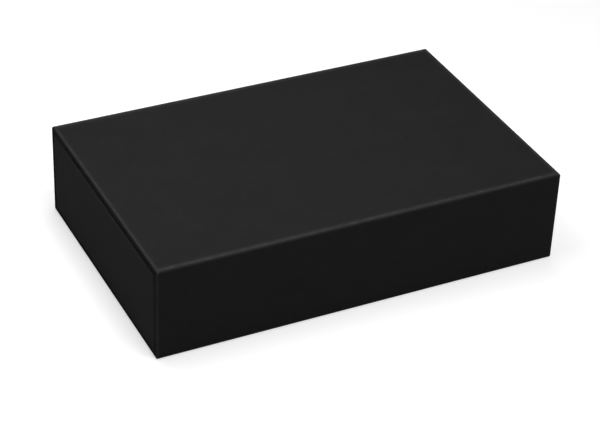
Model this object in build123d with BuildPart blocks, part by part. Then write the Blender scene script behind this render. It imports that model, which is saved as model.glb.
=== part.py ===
"""Rigid paperboard drawer box: a wrapped sleeve, open at both ends, and a tray that slides through it.

The sleeve is a V-grooved greyboard tube whose four panels meet in 45 degree mitres. One sheet of
paper wraps it and turns in over both mouths, and a liner covers its inside. The tray is a greyboard
base inside four upright walls, held by a stay tape round each corner. One sheet wraps it, turns in
over the rim and runs down to the floor, where a liner sheet covers its feet.

Frame, in millimetres: origin on the table under the middle of the sleeve, +X along the slide, +Z up.
The near side is -Y, and the left end is -X.
"""

import os

from build123d import *

# Finished outside of the sleeve
sleeve_length = 225.0
sleeve_width = 145.0
sleeve_height = 52.0
sleeve_fold_radius = 1.2
mouth_outer_radius = 1.0
mouth_inner_radius = 0.4

# Running gaps round the tray in the lined sleeve: it lies nearer the far side, as slid in by hand
end_recess = 0.2
near_gap = 1.0
far_gap = 0.3
top_gap = 1.0
glide_gap = 0.1

# Folds of the tray's wrap
tray_fold_radius = 0.8
tray_foot_radius = 0.4
tray_rim_radius = 0.5

# Sheet materials
sleeve_board = 1.5
tray_board = 1.5
wrap_paper = 0.2
liner_paper = 0.2
tape_paper = 0.1

# Papers' edges
mouth_turn_in = 15.0
mouth_liner_setback = 3.0
floor_turn_in = 10.0
floor_liner_margin = 0.5
joint_tape_leg = 12.0
joint_tape_setback = 4.0
stay_leg = 20.0
stay_setback = 1.5

# A wrap's cut edge shows as a fine seam beside the fold that it starts from
seam_inset = 1.6
seam_width = 0.3
seam_depth = 0.1

# Sleeve boards, and the bore through them: bare, between the turn-ins, and between the liners
board_length = sleeve_length - 2 * wrap_paper
board_width = sleeve_width - 2 * wrap_paper
board_height = sleeve_height - 2 * wrap_paper
duct_width = board_width - 2 * sleeve_board
duct_height = board_height - 2 * sleeve_board
duct_length = sleeve_length - 2 * mouth_turn_in
throat_width = duct_width - 2 * wrap_paper
throat_height = duct_height - 2 * wrap_paper
lined_width = throat_width - 2 * liner_paper
lined_height = throat_height - 2 * liner_paper
lined_length = sleeve_length - 2 * mouth_liner_setback

# Tray outside, its boards, and the cavity between their walls
tray_length = sleeve_length - 2 * end_recess
tray_width = lined_width - near_gap - far_gap
tray_height = lined_height - glide_gap - top_gap
tray_bottom = (sleeve_height - lined_height) / 2 + glide_gap
tray_centre = (near_gap - far_gap) / 2
tray_board_length = tray_length - 2 * wrap_paper
tray_board_width = tray_width - 2 * wrap_paper
tray_board_height = tray_height - 2 * wrap_paper
tray_board_bottom = tray_bottom + wrap_paper
cavity_length = tray_board_length - 2 * tray_board
cavity_width = tray_board_width - 2 * tray_board
floor_level = tray_board_bottom + tray_board
floor_window_length = cavity_length - 2 * floor_turn_in
floor_window_width = cavity_width - 2 * floor_turn_in


def sleeve_section(x):
    """The plane across the sleeve at x, with its origin on the sleeve's axis."""
    return Plane(origin=(x, 0, sleeve_height / 2), x_dir=(0, 1, 0), z_dir=(1, 0, 0))


def tray_level(z):
    """The level plane at z, with its origin on the tray's centre line."""
    return Plane(origin=(0, tray_centre, z))


def tube(length, width, height, bore_width, bore_height, fold_radius, outer_radius, inner_radius):
    """A tube on the sleeve's axis, with rounded long folds and both edges of each mouth eased."""
    with BuildPart() as shell:
        with BuildSketch(sleeve_section(-length / 2)):
            RectangleRounded(width, height, fold_radius)
        extrude(amount=length)
        ends = shell.faces().filter_by(Axis.X)
        fillet(ends.edges(), outer_radius)
        with BuildSketch(sleeve_section(-length / 2)):
            Rectangle(bore_width, bore_height)
        extrude(amount=length, mode=Mode.SUBTRACT)
        mouths = shell.faces().filter_by(Axis.X)
        bores = [face.inner_wires()[0] for face in mouths]
        fillet([edge for bore in bores for edge in bore.edges()], inner_radius)
    return shell.part


def tub(length, width, height, bottom, wall, floor, fold_radius, foot_radius, rim_radius):
    """An open box: rounded upright corners, an eased foot, and both edges of its rim eased."""
    with BuildPart() as shell:
        with BuildSketch(tray_level(bottom)):
            RectangleRounded(length, width, fold_radius)
        extrude(amount=height)
        foot = shell.faces().sort_by(Axis.Z)[0]
        fillet(foot.edges(), foot_radius)
        with BuildSketch(tray_level(bottom + floor)):
            Rectangle(length - 2 * wall, width - 2 * wall)
        extrude(amount=height - floor, mode=Mode.SUBTRACT)
        rim = shell.faces().sort_by(Axis.Z)[-1]
        fillet(rim.edges(), rim_radius)
    return shell.part


def corner_tape(width, height, fold_radius, leg, side_a, side_b):
    """Section of a tape pressed flush round one corner of a rounded rectangle of board."""
    with BuildSketch() as band:
        RectangleRounded(width, height, fold_radius)
        under_width = width - 2 * tape_paper
        under_height = height - 2 * tape_paper
        RectangleRounded(under_width, under_height, fold_radius - tape_paper, mode=Mode.SUBTRACT)
        with Locations((side_a * width / 2, side_b * height / 2)):
            Rectangle(2 * leg, 2 * leg, mode=Mode.INTERSECT)
    return band.sketch


os.makedirs("parts", exist_ok=True)

# Sleeve: the joint tape closes the board tube along its bottom far corner
sleeve_board_fold = sleeve_fold_radius - wrap_paper
joint_tape_length = board_length - 2 * joint_tape_setback

with BuildPart() as sleeve_joint_tape:
    with BuildSketch(sleeve_section(-joint_tape_length / 2)):
        add(corner_tape(board_width, board_height, sleeve_board_fold, joint_tape_leg, 1, -1))
    extrude(amount=joint_tape_length)

sleeve_joint_tape.part.label = "sleeve_joint_tape"
export_step(sleeve_joint_tape.part, "parts/sleeve_joint_tape.step")

# Sleeve: four panels of the board tube, each a trapezium in section between two mitres
board_tube = tube(
    board_length,
    board_width,
    board_height,
    duct_width,
    duct_height,
    sleeve_board_fold,
    mouth_outer_radius - wrap_paper,
    mouth_inner_radius - wrap_paper,
)
corner_signs = [(-1, -1), (1, -1), (1, 1), (-1, 1)]
outer_corners = [(a * board_width / 2, b * board_height / 2) for a, b in corner_signs]
inner_corners = [(a * duct_width / 2, b * duct_height / 2) for a, b in corner_signs]
panel_names = [
    "sleeve_bottom_board",
    "sleeve_far_side_board",
    "sleeve_top_board",
    "sleeve_near_side_board",
]

for index, panel_name in enumerate(panel_names):
    after = (index + 1) % len(panel_names)
    trapezium = [outer_corners[index], outer_corners[after], inner_corners[after], inner_corners[index]]
    with BuildPart() as sleeve_panel:
        with BuildSketch(sleeve_section(-board_length / 2)):
            Polygon(*trapezium, align=None)
        extrude(amount=board_length)
        add(board_tube, mode=Mode.INTERSECT)
        add(sleeve_joint_tape.part, mode=Mode.SUBTRACT)
    sleeve_panel.part.label = panel_name
    export_step(sleeve_panel.part, f"parts/{panel_name}.step")

# Sleeve: the wrap covers the tube and its mouths, and stops inside where the turn-ins end
wrap_tube = tube(
    sleeve_length,
    sleeve_width,
    sleeve_height,
    throat_width,
    throat_height,
    sleeve_fold_radius,
    mouth_outer_radius,
    mouth_inner_radius,
)

with BuildPart() as sleeve_wrap:
    add(wrap_tube)
    add(board_tube, mode=Mode.SUBTRACT)
    with BuildSketch(sleeve_section(-duct_length / 2)):
        Rectangle(duct_width, duct_height)
    extrude(amount=duct_length, mode=Mode.SUBTRACT)
    with BuildSketch(Plane(origin=(0, sleeve_width / 2, seam_inset), x_dir=(1, 0, 0), z_dir=(0, 1, 0))):
        Rectangle(sleeve_length, seam_width)
    extrude(amount=-seam_depth, mode=Mode.SUBTRACT)

sleeve_wrap.part.label = "sleeve_wrap"
export_step(sleeve_wrap.part, "parts/sleeve_wrap.step")

# Sleeve: the liner lies on the boards and steps up over both turn-ins
with BuildPart() as sleeve_liner:
    with BuildSketch(sleeve_section(-duct_length / 2)):
        Rectangle(duct_width, duct_height)
    extrude(amount=duct_length)
    with BuildSketch(sleeve_section(-lined_length / 2)):
        Rectangle(throat_width, throat_height)
    extrude(amount=lined_length)
    with BuildSketch(sleeve_section(-duct_length / 2 + liner_paper)):
        Rectangle(duct_width - 2 * liner_paper, duct_height - 2 * liner_paper)
    extrude(amount=duct_length - 2 * liner_paper, mode=Mode.SUBTRACT)
    with BuildSketch(sleeve_section(-lined_length / 2)):
        Rectangle(lined_width, lined_height)
    extrude(amount=lined_length, mode=Mode.SUBTRACT)

sleeve_liner.part.label = "sleeve_liner"
export_step(sleeve_liner.part, "parts/sleeve_liner.step")

# Tray: a stay tape round each upright corner of the board tub
tray_board_fold = tray_fold_radius - wrap_paper
stay_height = tray_board_height - 2 * stay_setback
corner_stays = []

for index, (side_x, side_y) in enumerate(corner_signs):
    with BuildPart() as tray_corner_stay:
        with BuildSketch(tray_level(tray_board_bottom + stay_setback)):
            add(corner_tape(tray_board_length, tray_board_width, tray_board_fold, stay_leg, side_x, side_y))
        extrude(amount=stay_height)
    stay_name = f"tray_corner_stay_{index + 1}"
    tray_corner_stay.part.label = stay_name
    export_step(tray_corner_stay.part, f"parts/{stay_name}.step")
    corner_stays.append(tray_corner_stay.part)

# Tray: four walls that stand on the wrap alone, with the ends between the long sides
board_tub = tub(
    tray_board_length,
    tray_board_width,
    tray_board_height,
    tray_board_bottom,
    tray_board,
    tray_board,
    tray_board_fold,
    tray_foot_radius - wrap_paper,
    tray_rim_radius - wrap_paper,
)
end_centre = (tray_board_length - tray_board) / 2
side_centre = (tray_board_width - tray_board) / 2
walls = {
    "tray_near_side_board": (tray_board_length, tray_board, 0, -side_centre),
    "tray_far_side_board": (tray_board_length, tray_board, 0, side_centre),
    "tray_left_end_board": (tray_board, cavity_width, -end_centre, 0),
    "tray_right_end_board": (tray_board, cavity_width, end_centre, 0),
}

for wall_name, (wall_length, wall_width, wall_x, wall_y) in walls.items():
    with BuildPart() as tray_wall:
        with BuildSketch(tray_level(tray_board_bottom)):
            with Locations((wall_x, wall_y)):
                Rectangle(wall_length, wall_width)
        extrude(amount=tray_board_height)
        add(board_tub, mode=Mode.INTERSECT)
        for stay in corner_stays:
            add(stay, mode=Mode.SUBTRACT)
    tray_wall.part.label = wall_name
    export_step(tray_wall.part, f"parts/{wall_name}.step")

# Tray: the base lies inside the walls
with BuildPart() as tray_base_board:
    with BuildSketch(tray_level(tray_board_bottom)):
        Rectangle(cavity_length, cavity_width)
    extrude(amount=tray_board)

tray_base_board.part.label = "tray_base_board"
export_step(tray_base_board.part, "parts/tray_base_board.step")

# Tray: the wrap covers the tub inside and out, and its feet leave the middle of the floor bare
wrap_tub = tub(
    tray_length,
    tray_width,
    tray_height,
    tray_bottom,
    tray_board + 2 * wrap_paper,
    tray_board + 2 * wrap_paper,
    tray_fold_radius,
    tray_foot_radius,
    tray_rim_radius,
)

with BuildPart() as tray_wrap:
    add(wrap_tub)
    add(board_tub, mode=Mode.SUBTRACT)
    with BuildSketch(tray_level(floor_level)):
        Rectangle(floor_window_length, floor_window_width)
    extrude(amount=wrap_paper, mode=Mode.SUBTRACT)
    with BuildSketch(tray_level(tray_bottom)):
        with GridLocations(tray_length, tray_width - 2 * seam_inset, 2, 2):
            Rectangle(2 * seam_depth, seam_width)
    extrude(amount=tray_height, mode=Mode.SUBTRACT)

tray_wrap.part.label = "tray_wrap"
export_step(tray_wrap.part, "parts/tray_wrap.step")

# Tray: the floor liner lies on the base and steps up over the feet
with BuildPart() as tray_floor_liner:
    with BuildSketch(tray_level(floor_level)):
        Rectangle(floor_window_length, floor_window_width)
    extrude(amount=wrap_paper + liner_paper)
    liner_inset = 2 * (wrap_paper + floor_liner_margin)
    with BuildSketch(tray_level(floor_level + wrap_paper)):
        Rectangle(cavity_length - liner_inset, cavity_width - liner_inset)
    extrude(amount=liner_paper)
    with BuildSketch(tray_level(floor_level + liner_paper)):
        Rectangle(floor_window_length - 2 * liner_paper, floor_window_width - 2 * liner_paper)
    extrude(amount=wrap_paper, mode=Mode.SUBTRACT)

tray_floor_liner.part.label = "tray_floor_liner"
export_step(tray_floor_liner.part, "parts/tray_floor_liner.step")
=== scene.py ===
"""A matt black paper-wrapped drawer box on a white studio floor. Metres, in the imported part's frame.

The greyboards and tapes keep the part's own meshes. The four black sheets are dressed with finer skins of
the same shape, whose sizes come from the frame.
"""

import math

import bmesh
import bpy
from mathutils import Matrix, Vector


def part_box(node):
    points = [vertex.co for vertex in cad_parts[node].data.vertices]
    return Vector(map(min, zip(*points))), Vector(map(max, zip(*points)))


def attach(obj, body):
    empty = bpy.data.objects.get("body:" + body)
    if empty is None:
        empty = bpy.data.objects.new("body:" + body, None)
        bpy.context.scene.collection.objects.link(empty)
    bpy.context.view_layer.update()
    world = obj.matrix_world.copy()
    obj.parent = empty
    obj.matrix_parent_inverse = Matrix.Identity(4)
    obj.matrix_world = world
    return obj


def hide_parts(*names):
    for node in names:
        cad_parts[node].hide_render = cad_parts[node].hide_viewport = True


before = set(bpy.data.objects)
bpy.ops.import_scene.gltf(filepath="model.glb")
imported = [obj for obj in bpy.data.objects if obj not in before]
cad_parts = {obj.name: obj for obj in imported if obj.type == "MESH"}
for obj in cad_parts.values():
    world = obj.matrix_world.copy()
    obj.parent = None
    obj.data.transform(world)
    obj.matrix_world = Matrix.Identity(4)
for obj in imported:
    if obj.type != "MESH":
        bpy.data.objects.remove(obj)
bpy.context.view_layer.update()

MM = 0.001

# ---------------------------------------------------------------- sizes

# Read from the frame
sleeve_low, sleeve_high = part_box("sleeve_wrap")
top_board_low, top_board_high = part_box("sleeve_top_board")
tray_low, tray_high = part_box("tray_wrap")
tray_wall_low, tray_wall_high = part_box("tray_near_side_board")
floor_liner_low, floor_liner_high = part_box("tray_floor_liner")
sleeve_liner_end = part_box("sleeve_liner")[1].x
tray_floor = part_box("tray_base_board")[1].z

paper = sleeve_high.z - top_board_high.z
sleeve_board = top_board_high.z - top_board_low.z
tray_board = tray_wall_high.y - tray_wall_low.y
sleeve_wall = sleeve_board + 2 * paper
tray_wall = tray_board + 2 * paper
sleeve_size = sleeve_high - sleeve_low
sleeve_centre_z = (sleeve_high.z + sleeve_low.z) / 2
tray_size = tray_high - tray_low
tray_centre_y = (tray_high.y + tray_low.y) / 2

# Radii of the folds and cut edges, and how far the sheets turn in
sleeve_fold = 1.2 * MM
mouth_outer = 1.0 * MM
mouth_inner = 0.4 * MM
tray_fold = 0.8 * MM
tray_foot = 0.4 * MM
tray_rim = 0.5 * MM
crease = 0.2 * MM
mouth_turn_in = 15 * MM
floor_turn_in = 10 * MM
sheet_ramp = 0.5 * MM

# How the outside faces ease off beside the folds
shoulder_reach = 4.5 * MM
shoulder_drop = 0.08 * MM
shoulder_marks = [0.5 * MM, 1.2 * MM, 2.0 * MM, 3.0 * MM, shoulder_reach]

# Where the paper gets a painted highlight or painted shade: how wide each band is and where its middle lies
fold_highlight = 1.2 * MM
fold_highlight_centre = 0.7 * MM
mouth_highlight = 0.75 * MM
mouth_highlight_on_top = 0.35 * MM
mouth_highlight_on_side = -0.6 * MM
mouth_shade = 1.4 * MM
mouth_shade_centre = -1.7 * MM
tray_corner_highlight = 0.3
rim_edge_highlight = 0.5
rim_top_highlight = 0.3

# Slits at the mitres, the glued seams and the steps at the ends of the tray's corner flaps
slit_depth = 0.12 * MM
seam_inset = 1.6 * MM
seam_half_width = 0.15 * MM
seam_depth = 0.1 * MM
flap_width = 12 * MM
flap_ramp = 0.6 * MM
flap_step = 0.05 * MM

# How finely the skins are divided
arc_steps = 8
ring_spans = 6
outside_stations = (60 * MM, 20 * MM, 10 * MM)
turn_in_station = 3 * MM
back_stations = (6 * MM, 20 * MM, 60 * MM)
strip_shares = (0.1, 0.5, 0.9)
beside_edge = 0.7 * MM
past_edge = 5 * MM

# ---------------------------------------------------------------- mesh helpers


def arc(centre, radius, start, end):
    """Points (u, v) on an arc, from the start to the end angle in degrees, both ends included."""
    points = []
    for step in range(arc_steps + 1):
        angle = math.radians(start + (end - start) * step / arc_steps)
        points.append((centre[0] + radius * math.cos(angle), centre[1] + radius * math.sin(angle)))
    return points


def ring(half_a, half_b, radius, marks):
    """A rounded rectangle's points, with what each is on: (a, b, side, share or distance).

    Corner "c0" lies at +a +b, and its points come with their share of the turn. After it comes side "s0",
    at +b, whose points come with the distance from its nearer end, and so on round to "c3" and "s3".
    marks are the distances from each end that get a point.
    """
    points = []
    turns = [(1, 1, 0), (-1, 1, 90), (-1, -1, 180), (1, -1, 270)]
    directions = [(-1, 0), (0, -1), (1, 0), (0, 1)]
    for index, (sign_a, sign_b, first) in enumerate(turns):
        centre = (sign_a * (half_a - radius), sign_b * (half_b - radius))
        for step, (a, b) in enumerate(arc(centre, radius, first, first + 90)):
            points.append((a, b, f"c{index}", step / arc_steps))
        length = 2 * ((half_a if index % 2 == 0 else half_b) - radius)
        middle = length - 2 * marks[-1]
        along = list(marks)
        along += [marks[-1] + middle * span / ring_spans for span in range(1, ring_spans)]
        along += [length - mark for mark in reversed(marks)]
        toward_a, toward_b = directions[index]
        last_a, last_b = points[-1][0], points[-1][1]
        for distance in along:
            a = last_a + toward_a * distance
            b = last_b + toward_b * distance
            points.append((a, b, f"s{index}", min(distance, length - distance)))
    return points


def mesh_object(name, bm):
    """Closes off a bmesh as a smooth-shaded object with outward faces."""
    bmesh.ops.recalc_face_normals(bm, faces=bm.faces)
    mesh = bpy.data.meshes.new(name)
    bm.to_mesh(mesh)
    bm.free()
    for polygon in mesh.polygons:
        polygon.use_smooth = True
    piece = bpy.data.objects.new(name, mesh)
    bpy.context.scene.collection.objects.link(piece)
    return piece


def sweep(name, rings, closed):
    """A skin through rings of points: joined end to end if closed, or else with a flat cap at both ends.

    Each point is (x, y, z, and its painted light). The last tells the paper's material how much painted
    highlight that point gets, or painted shade where it is negative.
    """
    bm = bmesh.new()
    painted_light_layer = bm.verts.layers.float.new("painted_light")
    rows = []
    for points in rings:
        row = []
        for x, y, z, painted_light in points:
            vertex = bm.verts.new((x, y, z))
            vertex[painted_light_layer] = painted_light
            row.append(vertex)
        rows.append(row)
    count = len(rows[0])
    pairs = list(zip(rows, rows[1:]))
    if closed:
        pairs.append((rows[-1], rows[0]))
    for one, other in pairs:
        for index in range(count):
            after = (index + 1) % count
            bm.faces.new((one[index], one[after], other[after], other[index]))
    if not closed:
        bm.faces.new(rows[0])
        bm.faces.new(reversed(rows[-1]))
    return mesh_object(name, bm)


def corner_dip(side, share, depth):
    """How far a mitre slit sinks a point of a corner, deepest at the middle of the turn."""
    if side[0] != "c":
        return 0.0
    return depth * math.sin(math.pi * share) ** 2


# ---------------------------------------------------------------- the sleeve's wrap

# Round the sleeve's ring, s0 is the top, s1 the near side, s2 the underside and s3 the far side.


def shoulder(distance):
    """How far a face has eased off at a distance from where its fold starts."""
    share = max(0.0, 1.0 - distance / shoulder_reach)
    return shoulder_drop * share * share


def upness(side, share):
    """How far a point of the ring faces up: 1 on the top, falling to 0 on the sides and beneath."""
    if side == "s0":
        return 1.0
    if side == "c0":
        return math.sin(math.radians(90 * share))
    if side == "c1":
        return math.cos(math.radians(90 * share))
    return 0.0


def fade(distance, reach):
    """A share that falls smoothly from 1 with distance."""
    return math.exp(-((distance / reach) ** 2))


def round_fold(turned, radius):
    """How far a point has gone round a fold, as a length."""
    return turned * math.pi / 2 * radius


def from_top(side, share, drop):
    """A point's distance from the edge of the top's flat: negative round the fold and down the side."""
    if side == "s0":
        return share
    if side == "c0":
        return -round_fold(1 - share, sleeve_fold)
    if side == "c1":
        return -round_fold(share, sleeve_fold)
    return -round_fold(1, sleeve_fold) - drop


def painted_light_at(from_mouth, turned, side, share, drop):
    """How much painted highlight a point gets, less how much painted shade.

    The highlight is painted along the mouth's edge and both top folds, and the shade where the paper turns
    over the top board's edge.
    """
    up = upness(side, share)
    past_mouth = from_mouth if turned == 0 else -round_fold(turned, mouth_outer)
    mouth_centre = mouth_highlight_on_side + (mouth_highlight_on_top - mouth_highlight_on_side) * up
    at_mouth = fade(past_mouth - mouth_centre, mouth_highlight)
    at_fold = fade(from_top(side, share, drop) - fold_highlight_centre, fold_highlight)
    # Painted shade where the paper turns over the top board's edge, under the mouth's highlight
    painted_shade = fade(past_mouth - mouth_shade_centre, mouth_shade) * up
    return max(at_mouth, at_fold * (1 - turned) ** 2) - painted_shade


def sleeve_ring(x, inset, slit=0.0, outside=False, turned=0.0):
    """The section of the sleeve's sheet at x, inset from its outside. slit sinks the mitres.

    turned is the share of the mouth's outer edge that the sheet has gone round at this section.
    """
    half_y = sleeve_size.y / 2 - inset
    half_z = sleeve_size.z / 2 - inset
    radius = max(sleeve_fold - inset, crease)
    seam = seam_inset - sleeve_fold
    marks = [seam - seam_half_width, seam, seam + seam_half_width] + shoulder_marks[1:]
    from_mouth = sleeve_size.x / 2 - mouth_outer - abs(x)
    points = []
    for y, z, side, share in ring(half_y, half_z, radius, marks):
        sunk = corner_dip(side, share, slit)
        in_corner = side[0] == "c"
        painted_light = 0.0
        if outside:
            distance = 0.0 if in_corner else share
            # The outside gets a painted highlight along its folds and mouth, and painted shade under the
            # mouth's top edge
            painted_light = painted_light_at(from_mouth, turned, side, share, half_z - radius - z)
            eased = max(0.0, shoulder(distance) - inset)
            if in_corner or side in ("s0", "s2"):
                z -= math.copysign(eased, z)
            if in_corner or side in ("s1", "s3"):
                y -= math.copysign(eased, y)
            if side == "s3" and z < 0 and abs(share - seam) < seam_half_width / 2:
                y -= seam_depth
        points.append((x - math.copysign(sunk, x), y, z + sleeve_centre_z, painted_light))
    return points


def mouth_path(length, wall, turn_in):
    """Half of the wrap's section, from the middle of the outside to the middle of its back.

    Each point is (x, inset, slit, whether it is outside, share of the mouth's outer edge gone round).
    """
    end = length / 2
    outer = (end - mouth_outer, mouth_outer + shoulder_drop)
    inner = (end - mouth_inner, wall - mouth_inner)
    strip = inner[1] - outer[1]
    under = (outer[0], mouth_outer)
    path = [(0.0, 0.0, 0.0, True, 0.0)]
    path += [(end - step, 0.0, 0.0, True, 0.0) for step in outside_stations]
    for mark in reversed(shoulder_marks):
        path.append((end - mouth_outer - mark, shoulder(mark), 0.0, True, 0.0))
    for step, (x, inset) in enumerate(arc(outer, mouth_outer, -90, 0)):
        path.append((x, inset, 0.0, True, step / arc_steps))
    path += [(end, outer[1] + strip * share, 1.0, False, 1.0) for share in strip_shares]
    path += [(x, inset, 0.0, False, 1.0) for x, inset in arc(inner, mouth_inner, 0, 90)]
    path += [(end - step, wall, 0.0, False, 1.0) for step in (turn_in_station, turn_in)]
    path += [(end - step, wall - paper, 0.0, False, 1.0) for step in (turn_in, turn_in_station)]
    path += [(x, inset, 0.0, False, 1.0) for x, inset in arc(inner, mouth_inner - paper, 90, 0)]
    path += [(x, inset, 0.0, False, 1.0) for x, inset in arc(under, mouth_outer - paper, 0, -90)]
    path += [(end - step, paper, 0.0, False, 1.0) for step in back_stations]
    path += [(0.0, paper, 0.0, False, 1.0)]
    return path


def make_sleeve_wrap():
    """The sheet round the tube, over both mouths and turned in."""
    right = mouth_path(sleeve_size.x, sleeve_wall, mouth_turn_in)
    left = [(-x, *rest) for x, *rest in reversed(right[1:-1])]
    rings = [sleeve_ring(x, inset, slit * slit_depth, *rest) for x, inset, slit, *rest in right + left]
    return sweep("sleeve_paper_wrap", rings, closed=True)


# ---------------------------------------------------------------- the sleeve's liner


def make_sleeve_liner():
    """The liner's tube: on the boards in the middle, and a paper's thickness higher on the turn-ins."""
    end = sleeve_liner_end
    step = sleeve_size.x / 2 - mouth_turn_in
    on_board = sleeve_wall - paper
    on_turn_in = sleeve_wall
    outer = [
        (0.0, on_board),
        (step, on_board),
        (step, on_turn_in),
        (end, on_turn_in),
    ]
    inner = [
        (end, on_turn_in + paper),
        (step - paper, on_turn_in + paper),
        (step - paper - sheet_ramp, on_board + paper),
        (0.0, on_board + paper),
    ]
    right = outer + inner
    left = [(-x, inset) for x, inset in reversed(right[1:-1])]
    rings = [sleeve_ring(x, inset) for x, inset in right + left]
    return sweep("sleeve_paper_liner", rings, closed=True)


# ---------------------------------------------------------------- the tray's wrap

# Round the tray's ring, s0 is the far side, s1 the left end, s2 the near side and s3 the right end.


def tray_ring(z, inset, slit=0.0, outside=False, painted_light=0.0):
    """The tray's sheet at z, inset from its outside. Its outside has the end flaps' seams and steps."""
    half_x = tray_size.x / 2 - inset
    half_y = tray_size.y / 2 - inset
    radius = max(tray_fold - inset, crease)
    seam = seam_inset - tray_fold
    step_start, step_end = flap_width - tray_fold, flap_width - tray_fold + flap_ramp
    marks = [seam - 2 * seam_half_width, seam - seam_half_width, seam]
    marks += [seam + seam_half_width, seam + 2 * seam_half_width]
    marks += [step_start - flap_ramp, step_start, step_end, step_end + flap_ramp]
    points = []
    for x, y, side, share in ring(half_x, half_y, radius, marks):
        sunk = corner_dip(side, share, slit)
        if outside and side in ("s1", "s3"):
            if abs(share - seam) < seam_half_width / 2:
                x -= math.copysign(seam_depth, x)
            if share > step_end - flap_ramp / 2:
                x -= math.copysign(flap_step, x)
        # A painted highlight down the outside's upright corners
        corner_highlight = tray_corner_highlight if outside and side[0] == "c" else 0.0
        points.append((x, y + tray_centre_y, z - sunk, max(painted_light, corner_highlight)))
    return points


def make_tray_wrap():
    """The sheet from the middle of the underside, up, over the rim, down inside and back beneath.

    Each station is (z, inset, slit, whether it is outside, and how much painted highlight it gets where it
    has one).
    """
    low, high = tray_low.z, tray_high.z
    foot = (tray_foot, low + tray_foot)
    rim_out = (tray_rim, high - tray_rim)
    rim_in = (tray_wall - tray_rim, high - tray_rim)
    under_middle, under_edge = 30 * MM, 3 * MM
    under_foot, under_rim = tray_foot - paper, tray_rim - paper
    feet_end = tray_wall - paper + floor_turn_in
    top_of_feet = tray_floor + paper
    stations = [(low, under_middle, 0.0, False), (low, under_edge, 0.0, False)]
    stations += [(v, u, 0.0, False) for u, v in arc(foot, tray_foot, 270, 180)]
    stations += [(low + rise, 0.0, 0.0, True) for rise in (beside_edge, past_edge)]
    stations += [(high - fall, 0.0, 0.0, True) for fall in (past_edge, beside_edge)]
    # Painted highlights along the rim's edges and over its top
    stations += [(v, u, 0.0, False, rim_edge_highlight) for u, v in arc(rim_out, tray_rim, 180, 90)]
    stations += [(high, tray_wall / 2, 1.0, False, rim_top_highlight)]
    stations += [(v, u, 0.0, False, rim_edge_highlight) for u, v in arc(rim_in, tray_rim, 90, 0)]
    stations += [(high - past_edge, tray_wall, 0.0, False)]
    stations += [(top_of_feet + crease, tray_wall, 0.0, False)]
    stations += [(top_of_feet, tray_wall + crease, 0.0, False), (top_of_feet, feet_end, 0.0, False)]
    stations += [(tray_floor, feet_end, 0.0, False), (tray_floor, tray_wall - paper, 0.0, False)]
    stations += [(v, u, 0.0, False) for u, v in arc(rim_in, under_rim, 0, 90)]
    stations += [(v, u, 0.0, False) for u, v in arc(rim_out, under_rim, 90, 180)]
    stations += [(v, u, 0.0, False) for u, v in arc(foot, under_foot, 180, 270)]
    stations += [(low + paper, under_middle, 0.0, False)]
    rings = [tray_ring(z, inset, slit * slit_depth, *rest) for z, inset, slit, *rest in stations]
    return sweep("tray_paper_wrap", rings, closed=False)


# ---------------------------------------------------------------- the tray's floor liner


def make_floor_liner():
    """The floor's sheet, a paper's thickness lower inside the wrap's feet."""
    liner = floor_liner_high.z - floor_liner_low.z - paper
    window = tray_wall - paper + floor_turn_in
    middle = window + 20 * MM
    edge = tray_high.x - floor_liner_high.x
    eased = 0.05 * MM
    on_base, on_feet = tray_floor, tray_floor + paper
    high = on_feet + liner
    stations = [
        (on_base, middle),
        (on_base, window),
        (on_feet, window),
        (on_feet, edge),
        (high - eased, edge),
        (high, edge + eased),
        (high, window + liner),
        (on_base + liner, window + liner + sheet_ramp),
        (on_base + liner, middle),
    ]
    rings = [tray_ring(z, inset) for z, inset in stations]
    return sweep("tray_paper_floor", rings, closed=False)


# ---------------------------------------------------------------- material helpers


def nodes_of(name):
    """A new node material, its tree and its shader."""
    material = bpy.data.materials.new(name)
    material.use_nodes = True
    tree = material.node_tree
    return material, tree, tree.nodes["Principled BSDF"]


def object_space(tree):
    """Coordinates in the object's own space."""
    return tree.nodes.new("ShaderNodeTexCoord").outputs["Object"]


def noise(tree, coordinates, scale, detail, roughness=0.5, stretch=(1, 1, 1), turn=(0, 0, 0)):
    """A noise texture: scale is in features per metre, stretch squeezes the axes and turn rotates them."""
    mapping = tree.nodes.new("ShaderNodeMapping")
    mapping.inputs["Scale"].default_value = stretch
    mapping.inputs["Rotation"].default_value = turn
    texture = tree.nodes.new("ShaderNodeTexNoise")
    texture.inputs["Scale"].default_value = scale
    texture.inputs["Detail"].default_value = detail
    texture.inputs["Roughness"].default_value = roughness
    tree.links.new(coordinates, mapping.inputs["Vector"])
    tree.links.new(mapping.outputs["Vector"], texture.inputs["Vector"])
    return texture.outputs["Fac"]


def remap(tree, value, old, new):
    """value, from the range old to the range new."""
    node = tree.nodes.new("ShaderNodeMapRange")
    node.inputs["From Min"].default_value = old[0]
    node.inputs["From Max"].default_value = old[1]
    node.inputs["To Min"].default_value = new[0]
    node.inputs["To Max"].default_value = new[1]
    tree.links.new(value, node.inputs["Value"])
    return node.outputs["Result"]


def combine(tree, operation, *values):
    """A maths node on values, each of which is a node's output or a number."""
    node = tree.nodes.new("ShaderNodeMath")
    node.operation = operation
    for socket, value in zip(node.inputs, values):
        if isinstance(value, float):
            socket.default_value = value
        else:
            tree.links.new(value, socket)
    return node.outputs["Value"]


def blend_colours(tree, factor, low, high):
    """A colour from low to high by a factor. low may be a colour that another node gives."""
    node = tree.nodes.new("ShaderNodeMix")
    node.data_type = "RGBA"
    start, end = [socket for socket in node.inputs if socket.type == "RGBA"]
    if isinstance(low, tuple):
        start.default_value = (*low, 1)
    else:
        tree.links.new(low, start)
    end.default_value = (*high, 1)
    tree.links.new(factor, node.inputs["Factor"])
    return next(socket for socket in node.outputs if socket.type == "RGBA")


def bump(tree, height, distance, strength):
    """A normal that follows a height."""
    node = tree.nodes.new("ShaderNodeBump")
    node.inputs["Distance"].default_value = distance
    node.inputs["Strength"].default_value = strength
    tree.links.new(height, node.inputs["Height"])
    return node.outputs["Normal"]


# ---------------------------------------------------------------- materials

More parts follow.
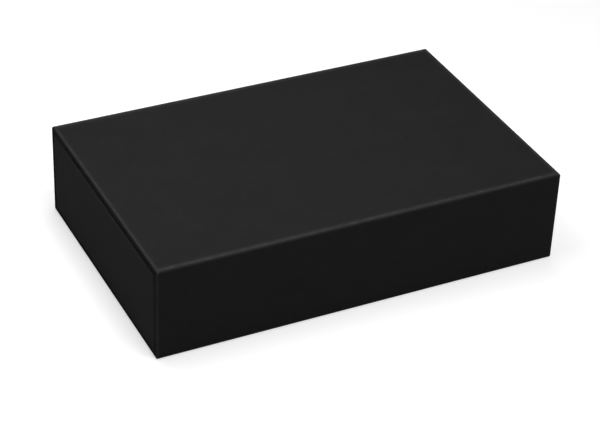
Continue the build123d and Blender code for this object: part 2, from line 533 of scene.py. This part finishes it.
paper_dark, paper_light = (0.0125, 0.0125, 0.0131), (0.0213, 0.0212, 0.0223)
# Colour of the painted highlight along the folds and edges
highlight_paper = (0.043, 0.043, 0.045)
# Colour of the painted shade under the mouth's top edge
shade_paper = (0.002, 0.002, 0.002)
board_dark, board_light = (0.20, 0.185, 0.16), (0.36, 0.34, 0.30)
tape_dark, tape_light = (0.32, 0.19, 0.09), (0.50, 0.33, 0.18)
floor_dark, floor_light = (0.44, 0.44, 0.44), (0.46, 0.46, 0.46)
floor_seen = (0.72, 0.72, 0.72)
floor_lift = 0.50


def black_paper():
    """Matt black uncoated paper: short crossed fibres, a fine tooth and faint cloudy unevenness, with
    painted highlights along its folds and painted shade under the mouth's top edge.
    """
    material, tree, shader = nodes_of("black_paper")
    where = object_space(tree)
    fibres = noise(tree, where, 1500, detail=3, roughness=0.6, stretch=(1, 0.22, 1), turn=(0.3, 0.2, 0.6))
    crossed = noise(tree, where, 1500, detail=3, roughness=0.6, stretch=(0.22, 1, 1), turn=(0.2, 0.4, 0.5))
    tooth = noise(tree, where, 3200, detail=2, roughness=0.6)
    clouds = noise(tree, where, 55, detail=4, roughness=0.55)
    felt = combine(tree, "MAXIMUM", fibres, crossed)
    surface = combine(tree, "ADD", felt, tooth)
    fine_shade = remap(tree, surface, (0.8, 1.4), (0.0, 0.5))
    shade = combine(tree, "MULTIPLY_ADD", clouds, 0.5, fine_shade)
    colour = blend_colours(tree, shade, paper_dark, paper_light)
    painted_light = tree.nodes.new("ShaderNodeAttribute")
    painted_light.attribute_name = "painted_light"
    # Painted highlight along the folds and edges, made uneven by a noise
    uneven_highlight = remap(tree, noise(tree, where, 260, detail=4, roughness=0.6), (0.3, 0.7), (0.45, 1.0))
    painted_highlight = combine(tree, "MULTIPLY", painted_light.outputs["Fac"], uneven_highlight)
    # Painted shade where the attribute is negative, under the mouth's top edge
    painted_shade = combine(tree, "MULTIPLY", painted_light.outputs["Fac"], -1.0)
    colour = blend_colours(tree, painted_highlight, colour, highlight_paper)
    colour = blend_colours(tree, painted_shade, colour, shade_paper)
    tree.links.new(colour, shader.inputs["Base Color"])
    tree.links.new(remap(tree, felt, (0.35, 0.75), (1.0, 0.9)), shader.inputs["Roughness"])
    tree.links.new(bump(tree, surface, distance=0.03 * MM, strength=0.6), shader.inputs["Normal"])
    shader.inputs["Specular IOR Level"].default_value = 0.1
    return material


def greyboard():
    """Raw grey pressed board with flecks of pulp."""
    material, tree, shader = nodes_of("greyboard")
    where = object_space(tree)
    pulp = noise(tree, where, 420, detail=6, roughness=0.65, stretch=(1, 0.5, 1))
    flecks = noise(tree, where, 1300, detail=2, roughness=0.5)
    grain = combine(tree, "MULTIPLY", pulp, flecks)
    colour = blend_colours(tree, remap(tree, grain, (0.12, 0.4), (0, 1)), board_dark, board_light)
    tree.links.new(colour, shader.inputs["Base Color"])
    tree.links.new(remap(tree, pulp, (0.3, 0.7), (0.95, 0.8)), shader.inputs["Roughness"])
    tree.links.new(bump(tree, pulp, distance=0.08 * MM, strength=0.5), shader.inputs["Normal"])
    return material


def kraft_tape():
    """Brown gummed kraft tape with its long fibres."""
    material, tree, shader = nodes_of("kraft_tape")
    fibres = noise(tree, object_space(tree), 1100, detail=4, roughness=0.6, stretch=(0.2, 1, 1))
    colour = blend_colours(tree, remap(tree, fibres, (0.3, 0.7), (0, 1)), tape_dark, tape_light)
    tree.links.new(colour, shader.inputs["Base Color"])
    tree.links.new(remap(tree, fibres, (0.3, 0.7), (0.75, 0.6)), shader.inputs["Roughness"])
    tree.links.new(bump(tree, fibres, distance=0.03 * MM, strength=0.5), shader.inputs["Normal"])
    return material


def white_floor():
    """A pale floor that the camera sees as white, apart from the object's shadow on it.

    It lights the object as a mid grey would, and shows its own shading as a paler sheet would.
    """
    material, tree, shader = nodes_of("white_floor")
    grain = noise(tree, object_space(tree), 300, detail=3)
    colour = blend_colours(tree, grain, floor_dark, floor_light)
    rays = tree.nodes.new("ShaderNodeLightPath").outputs
    seen = combine(tree, "MAXIMUM", rays["Is Camera Ray"], rays["Is Glossy Ray"])
    seen = combine(tree, "MAXIMUM", seen, rays["Is Transmission Ray"])
    colour = blend_colours(tree, seen, colour, floor_seen)
    tree.links.new(colour, shader.inputs["Base Color"])
    shader.inputs["Roughness"].default_value = 0.9
    shader.inputs["Specular IOR Level"].default_value = 0.0
    lift = tree.nodes.new("ShaderNodeEmission")
    lift.inputs["Color"].default_value = (1, 1, 1, 1)
    lift.inputs["Strength"].default_value = floor_lift
    added = tree.nodes.new("ShaderNodeAddShader")
    chosen = tree.nodes.new("ShaderNodeMixShader")
    output = tree.nodes["Material Output"]
    tree.links.new(shader.outputs["BSDF"], added.inputs[0])
    tree.links.new(lift.outputs["Emission"], added.inputs[1])
    tree.links.new(seen, chosen.inputs["Fac"])
    tree.links.new(shader.outputs["BSDF"], chosen.inputs[1])
    tree.links.new(added.outputs["Shader"], chosen.inputs[2])
    tree.links.new(chosen.outputs["Shader"], output.inputs["Surface"])
    return material


# ---------------------------------------------------------------- stage, lights and camera

floor_half_size = 6.0
world_strength = 0.02
box_centre = (0, 0, 0.03)

# Each lamp's name, place, aim, side and power in watts
lamps = [
    ("overhead", (0.20, 0.0, 1.33), box_centre, 0.7, 1.5),
    ("front", (0.20, -0.65, 1.16), box_centre, 0.7, 7.4),
    ("back", (0.20, 0.65, 1.16), box_centre, 0.7, 2.8),
    ("near_left", (-0.12, 0.02, 0.40), (-0.05, 0, 0.05), 0.25, 0.90),
]

camera_at = Vector((-0.39822, -0.77675, 0.59341))
camera_aim = Vector((-0.00818, -0.01485, 0.02500))
camera_roll = math.radians(2.410)
camera_lens = 118.34
camera_sensor = 36.0


def make_floor():
    """A large sheet of seamless paper, level with the sleeve's underside."""
    bm = bmesh.new()
    bmesh.ops.create_grid(bm, x_segments=8, y_segments=8, size=floor_half_size)
    floor = mesh_object("floor", bm)
    floor.data.materials.append(white_floor())


def make_world():
    """A world that is white to the camera and adds only a little light."""
    world = bpy.data.worlds.new("studio")
    bpy.context.scene.world = world
    world.use_nodes = True
    tree = world.node_tree
    background = tree.nodes["Background"]
    background.inputs["Color"].default_value = (1, 1, 1, 1)
    light_path = tree.nodes.new("ShaderNodeLightPath")
    strength = remap(tree, light_path.outputs["Is Camera Ray"], (0, 1), (world_strength, 1.0))
    tree.links.new(strength, background.inputs["Strength"])


def softbox(name, at, aim, size, power):
    """A square soft lamp at a point, aimed at another."""
    data = bpy.data.lights.new(name, "AREA")
    data.shape = "SQUARE"
    data.size = size
    data.energy = power
    lamp = bpy.data.objects.new(name, data)
    lamp.location = at
    lamp.rotation_mode = "QUATERNION"
    lamp.rotation_quaternion = (Vector(aim) - Vector(at)).to_track_quat("-Z", "Y")
    bpy.context.scene.collection.objects.link(lamp)


def make_camera():
    """The photograph's view: 27 degrees round to the left of the near side and 34 degrees up."""
    data = bpy.data.cameras.new("camera")
    data.sensor_width = camera_sensor
    data.lens = camera_lens
    data.clip_start = 0.01
    data.clip_end = 20
    camera = bpy.data.objects.new("camera", data)
    facing = (camera_aim - camera_at).to_track_quat("-Z", "Y").to_matrix().to_4x4()
    camera.matrix_world = Matrix.Translation(camera_at) @ facing @ Matrix.Rotation(camera_roll, 4, "Z")
    bpy.context.scene.collection.objects.link(camera)
    bpy.context.scene.camera = camera


# ---------------------------------------------------------------- the scene

paper_finish = black_paper()
board_finish = greyboard()
tape_finish = kraft_tape()

dressed = [
    (make_sleeve_wrap(), "sleeve", "sleeve_paper", "sleeve_wrap"),
    (make_sleeve_liner(), "sleeve", "sleeve_paper", "sleeve_liner"),
    (make_tray_wrap(), "drawer", "tray_paper", "tray_wrap"),
    (make_floor_liner(), "drawer", "tray_paper", "tray_floor_liner"),
]
for piece, body, slot, node in dressed:
    piece.data.materials.append(paper_finish)
    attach(piece, body)
    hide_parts(node)

for name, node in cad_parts.items():
    if name.endswith("_board"):
        node.data.materials.clear()
        node.data.materials.append(board_finish)
    elif "tape" in name or "stay" in name:
        node.data.materials.clear()
        node.data.materials.append(tape_finish)

make_floor()
make_world()
for lamp_values in lamps:
    softbox(*lamp_values)
make_camera()

bpy.context.scene.view_settings.view_transform = "Standard"
